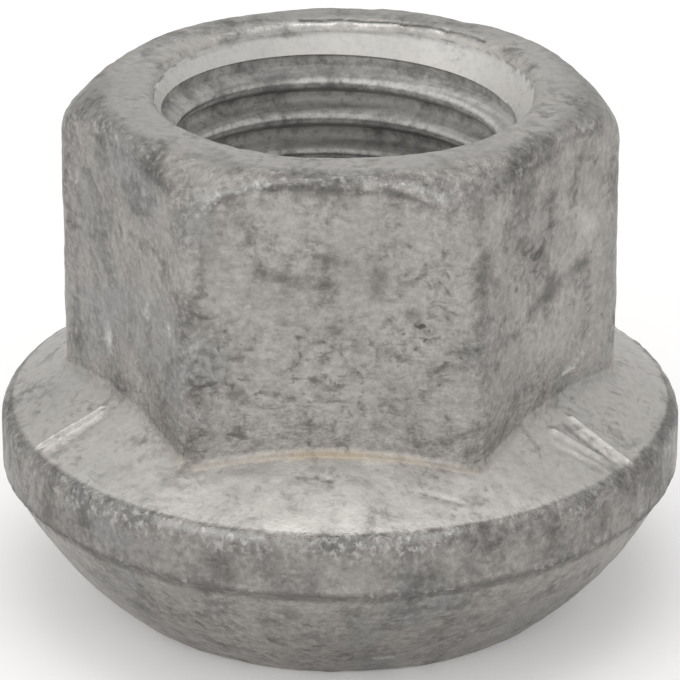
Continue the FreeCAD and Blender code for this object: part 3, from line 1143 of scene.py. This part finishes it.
@dataclass
class ForgedSkin:
    """The unevenness of a forging: soft lumps, a finer grain, nicked edges, and the relief of the marks.

    Everything stays inside the solid's box: no point passes the top, the foot or the collar's radius.
    """

    sizes: NutSizes
    lump_size: float = 2.2 * MM
    lump_depth: float = 0.035 * MM
    grain_size: float = 0.55 * MM
    grain_depth: float = 0.012 * MM
    nick_size: float = 0.9 * MM
    nick_depth: float = 0.08 * MM
    nick_level: float = 0.9
    seed: float = 4.0

    def apply(self, nut: bpy.types.Object, material: bpy.types.Material) -> None:
        """Shape the nut's mesh with a node tree.

        Args:
            nut: The nut.
            material: The finish that the tree sets.
        """
        numbers = {
            "Lump size": self.lump_size, "Lump depth": self.lump_depth, "Grain size": self.grain_size,
            "Grain depth": self.grain_depth, "Nick size": self.nick_size, "Nick depth": self.nick_depth,
            "Seed": self.seed, "Top height": self.sizes.height, "Collar radius": self.sizes.collar_radius,
        }
        run_tree(nut, self.tree(tuple(numbers)), numbers | {"Finish": material})

    def tree(self, names: tuple[str, ...]) -> bpy.types.NodeTree:
        """Build the node tree that moves the skin along its normals.

        Args:
            names: The names of the inputs for sizes, depths and seed.

        Returns:
            The tree.
        """
        tree, given = new_tree("forged_skin", dict.fromkeys(names, "Float"))
        place = found(tree, "GeometryNodeInputPosition")
        zone = {kind: found(tree, "GeometryNodeInputNamedAttribute", {"Name": kind.value}, data_type="FLOAT")
                for kind in SHAPE_ZONES}

        def unevenness(name: str, detail: float) -> Term:
            """Give a noise from about -1 to 1 whose lumps have the named input's size."""
            scale = given[name].maths("POWER", -1.0)
            values = {"Vector": place, "W": given["Seed"], "Scale": scale, "Detail": detail}
            return found(tree, "ShaderNodeTexNoise", values, noise_dimensions="4D").ramped(0.25, 0.75, -1.0, 1.0)

        lumps = unevenness("Lump size", 2.0) * given["Lump depth"]
        grain = unevenness("Grain size", 2.0) * given["Grain depth"]
        bites = unevenness("Nick size", 3.0).ramped(0.0, self.nick_level) * given["Nick depth"]
        rise = (lumps + grain) * zone[Zone.SKIN] - bites * zone[Zone.EDGE] + zone[Zone.RELIEF]
        normal = found(tree, "GeometryNodeInputNormal")
        push = found(tree, "ShaderNodeVectorMath", {0: normal, "Scale": rise}, operation="SCALE")
        moved = found(tree, "ShaderNodeVectorMath", {0: place, 1: push}, operation="ADD")

        x, y, z = (Term(tree, part) for part in add_node(tree, "ShaderNodeSeparateXYZ", {0: moved}).outputs)
        kept = (given["Collar radius"] / (x * x + y * y).maths("SQRT")).at_most(1.0)
        height = z.at_most(given["Top height"]).at_least(0.0)
        spot = found(tree, "ShaderNodeCombineXYZ", {"X": x * kept, "Y": y * kept, "Z": height})
        shape = found(tree, "GeometryNodeSetPosition", {"Geometry": given["Geometry"], "Position": spot})
        finish_tree(given, shape)
        return tree


@dataclass
class WheelNut:
    """The nut in one piece: the outer skin and the thread, welded at the countersinks' rims."""

    sizes: NutSizes
    finish: ZincCoatedSteel
    weld: float = 0.003 * MM
    sharp_angle: float = math.radians(38.0)

    def build(self) -> bpy.types.Object:
        """Build and dress the nut.

        Returns:
            The finished piece.
        """
        material = self.finish.material()
        body = NutBody(self.sizes).build()
        thread = ThreadRibbon(self.sizes).build(material)
        joined = bmesh.new()
        joined.from_mesh(body)
        joined.from_mesh(thread.data)
        bmesh.ops.remove_doubles(joined, verts=joined.verts, dist=self.weld)
        bmesh.ops.recalc_face_normals(joined, faces=joined.faces)
        open_edges = sum(1 for edge in joined.edges if not edge.is_manifold)
        mesh = bpy.data.meshes.new("nut")
        joined.to_mesh(mesh)
        joined.free()
        bpy.data.objects.remove(thread)
        nut = new_object("zinc_coated_nut", mesh)
        ForgedSkin(self.sizes).apply(nut, material)
        nut.data.shade_smooth()
        nut.data.set_sharp_from_angle(angle=self.sharp_angle)
        log.info("nut: %d vertices, %d faces, %d open edges", len(nut.data.vertices), len(nut.data.polygons),
                 open_edges)
        return nut


@dataclass
class Studio:
    """A pale floor, soft light and the camera of the photograph."""

    camera_distance: float = 176.9 * MM
    camera_elevation: float = math.radians(23.64)
    camera_height: float = 9.72 * MM
    aim_height: float = 9.93 * MM
    lens_pixels: float = 4498.0
    frame_pixels: float = 680.0
    sensor: float = 36.0
    clip_start: float = 0.01
    floor_size: float = 3.0
    floor_height: float = -0.02 * MM
    floor_glow: float = 0.13
    room_light: float = 0.70
    lamp_size: float = 0.42
    lamp_aim: tuple = (0.0, 0.0, 0.01)

    def build(self) -> None:
        """Set up floor, light and camera."""
        scene = bpy.context.scene
        scene.view_settings.view_transform = "Standard"
        self.floor()
        self.world()
        self.lamp("top", (0.0, 0.001, 0.610), 0.72)
        self.lamp("front", (0.0, -0.580, 0.165), 0.47)
        self.lamp("front_left", (-0.502, -0.290, 0.165), 0.30)
        self.lamp("left", (-0.424, 0.0, 0.434), 0.25)
        self.camera()

    def floor(self) -> None:
        """Lay the pale floor, which looks white to the camera and keeps the shadow."""
        half = self.floor_size / 2.0
        mesh = bpy.data.meshes.new("floor")
        corners = [(x * half, y * half, self.floor_height) for x, y in ((-1, -1), (1, -1), (1, 1), (-1, 1))]
        mesh.from_pydata(corners, [], [(0, 1, 2, 3)])
        floor = new_object("floor", mesh)
        material = bpy.data.materials.new("pale_paper")
        tree = cleared(material)
        paper = found(tree, "ShaderNodeBsdfDiffuse", {"Color": linear("#FBFAF9")})
        glow = found(tree, "ShaderNodeEmission", {"Color": WHITE, "Strength": self.floor_glow})
        both = found(tree, "ShaderNodeAddShader", {0: paper, 1: glow})
        mixed = found(tree, "ShaderNodeMixShader", {0: self.seen_by(tree, "Is Glossy Ray"), 1: paper, 2: both})
        add_node(tree, "ShaderNodeOutputMaterial", {"Surface": mixed})
        mesh.materials.append(material)

    def world(self) -> None:
        """Light everything evenly and show white behind the floor."""
        world = bpy.data.worlds.new("studio")
        bpy.context.scene.world = world
        tree = cleared(world)
        strength = self.seen_by(tree, "Is Transmission Ray").ramped(0.0, 1.0, self.room_light, 1.0)
        back = found(tree, "ShaderNodeBackground", {"Strength": strength, "Color": WHITE})
        add_node(tree, "ShaderNodeOutputWorld", {"Surface": back})

    @staticmethod
    def seen_by(tree: bpy.types.NodeTree, ray: str) -> Term:
        """Give 1 for the camera's rays and this other kind, and 0 for the rest."""
        path = add_node(tree, "ShaderNodeLightPath").outputs
        return Term(tree, path["Is Camera Ray"]).at_least(Term(tree, path[ray]))

    def lamp(self, name: str, place: tuple[float, float, float], power: float) -> None:
        """Hang one soft square lamp that faces the nut.

        Args:
            name: The lamp's name.
            place: Where it hangs.
            power: Its power in watts.
        """
        data = bpy.data.lights.new(name, "AREA")
        data.size = self.lamp_size
        data.energy = power
        lamp = new_object(name, data)
        lamp.location = place
        towards = Vector(self.lamp_aim) - Vector(place)
        lamp.rotation_euler = towards.to_track_quat("-Z", "Y").to_euler()

    def camera(self) -> None:
        """Put the camera where the photograph was taken from."""
        data = bpy.data.cameras.new("camera")
        data.sensor_width = self.sensor
        data.lens = self.lens_pixels / self.frame_pixels * self.sensor
        data.clip_start = self.clip_start
        camera = new_object("camera", data)
        back = -self.camera_distance * math.cos(self.camera_elevation)
        up = self.camera_height + self.camera_distance * math.sin(self.camera_elevation)
        camera.location = (0.0, back, up)
        towards = Vector((0.0, 0.0, self.aim_height)) - camera.location
        camera.rotation_euler = towards.to_track_quat("-Z", "Y").to_euler()
        bpy.context.scene.camera = camera


def main() -> None:
    """Build the nut, report it, and set up the studio."""
    logging.basicConfig(level=logging.INFO, format="%(name)s: %(message)s")
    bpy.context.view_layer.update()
    nut = WheelNut(NutSizes(), ZincCoatedSteel()).build()
    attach(nut, BODY)
    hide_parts(NODE)
    Studio().build()


if __name__ == "__main__":
    main()
